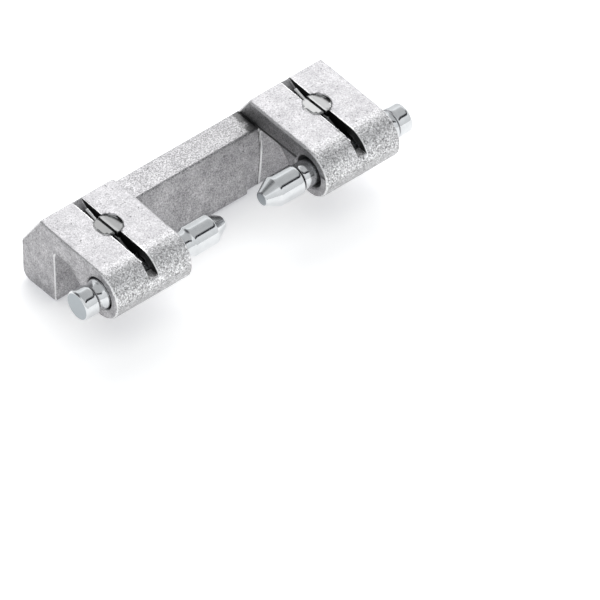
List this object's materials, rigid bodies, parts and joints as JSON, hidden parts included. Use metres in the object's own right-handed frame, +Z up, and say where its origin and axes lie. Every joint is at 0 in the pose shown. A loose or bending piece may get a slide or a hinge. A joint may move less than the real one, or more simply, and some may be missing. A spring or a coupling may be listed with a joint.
{
  "type": "lift off hinge",
  "caption": "Frame half of a concealed lift off hinge: a zinc casting with two ears joined by a bar, and a captive sliding steel pin in each ear.",
  "frame": {"origin": "on the flat back face, midway between the two tapped fixing holes", "axes": "+X along the hinge and its pins, +Y out of the back face towards the frame it is fixed to, +Z up"},
  "size_m": [0.0772, 0.0276, 0.0171],
  "materials": {
    "zinc_casting": "raw die-cast zinc, light grey and finely pitted",
    "plated_pin": "turned steel, bright zinc plated",
    "spring_wire": "drawn spring wire"
  },
  "bodies": {
    "frame_half": {"hinge_body": "zinc_casting", "left_retaining_spring": "spring_wire", "right_retaining_spring": "spring_wire"},
    "left_sliding_pin": {"left_pin": "plated_pin"},
    "right_sliding_pin": {"right_pin": "plated_pin"}
  },
  "joints": [
    {"name": "left_pin_slide", "type": "slide", "parent": "frame_half", "child": "left_sliding_pin", "axis": [-1, 0, 0], "range_m": [0, 0.011]},
    {"name": "right_pin_slide", "type": "slide", "parent": "frame_half", "child": "right_sliding_pin", "axis": [1, 0, 0], "range_m": [0, 0.011]}
  ]
}
